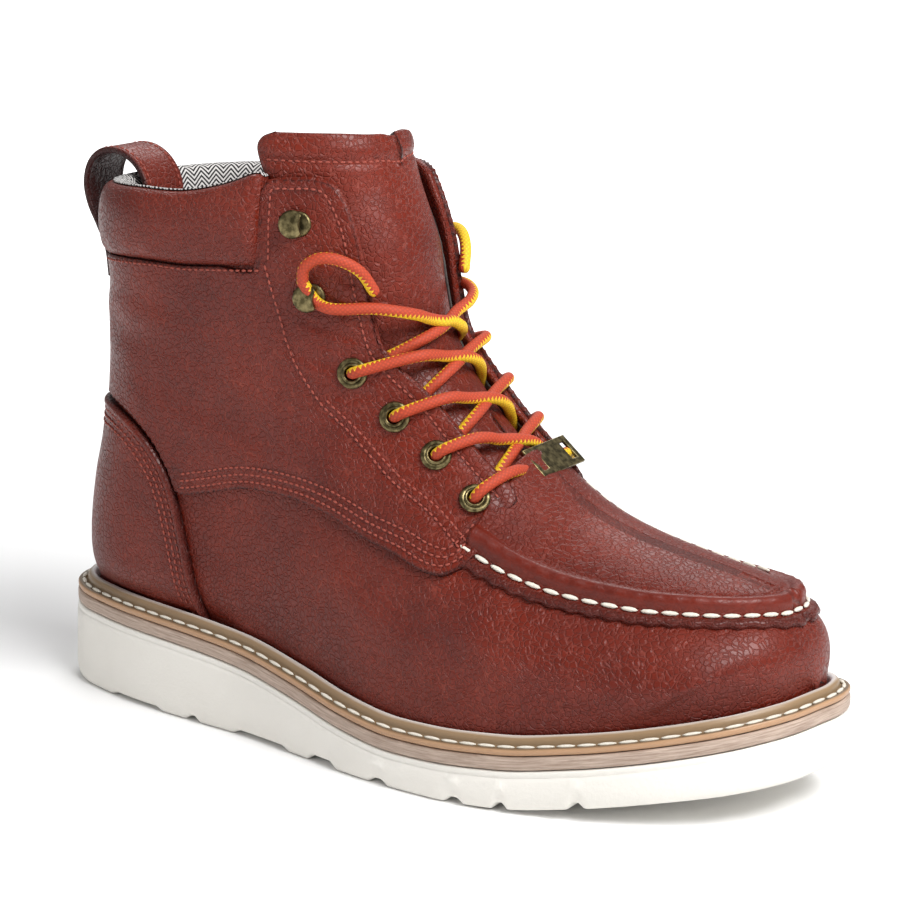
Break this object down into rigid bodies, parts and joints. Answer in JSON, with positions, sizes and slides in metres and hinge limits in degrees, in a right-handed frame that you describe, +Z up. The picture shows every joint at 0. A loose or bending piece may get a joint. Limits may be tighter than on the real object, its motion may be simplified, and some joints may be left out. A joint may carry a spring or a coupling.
{
  "type": "wedge sole work boot",
  "caption": "Right-foot lace-up leather work boot, ankle high, with a moc toe, padded collar and a one-piece white wedge sole.",
  "frame": {"origin": "middle of the boot's outline from above, on the floor it stands on", "axes": "+X from heel to toe, +Y to the inner side of the foot, +Z up"},
  "size_m": [0.3049, 0.1128, 0.2113],
  "materials": {
    "leather": "pebbled full-grain, oxblood",
    "outsole": "matt foamed rubber, off-white",
    "midsole": "matt, grained tan-grey",
    "welt": "satin, olive-brown",
    "insole": "matt woven cover",
    "hardware": "aged, satin",
    "lace": "braided, yellow and rust"
  },
  "bodies": {
    "root": {"backstay": "leather", "collar": "leather", "eyelet_lateral_1": "hardware", "eyelet_lateral_2": "hardware", "eyelet_lateral_3": "hardware", "eyelet_lateral_4": "hardware", "eyelet_medial_1": "hardware", "eyelet_medial_2": "hardware", "eyelet_medial_3": "hardware", "eyelet_medial_4": "hardware", "heel_counter": "leather", "hook_lateral_1": "hardware", "hook_lateral_2": "hardware", "hook_medial_1": "hardware", "hook_medial_2": "hardware", "insole": "insole", "lace_crossings": "lace", "lace_end_lateral": "lace", "lace_end_medial": "lace", "lace_plate": "hardware", "midsole": "midsole", "moc_apron": "leather", "outsole": "outsole", "pull_loop": "leather", "quarter_lateral": "leather", "quarter_medial": "leather", "tongue": "leather", "upper": "leather", "welt": "welt"}
  },
  "joints": []
}
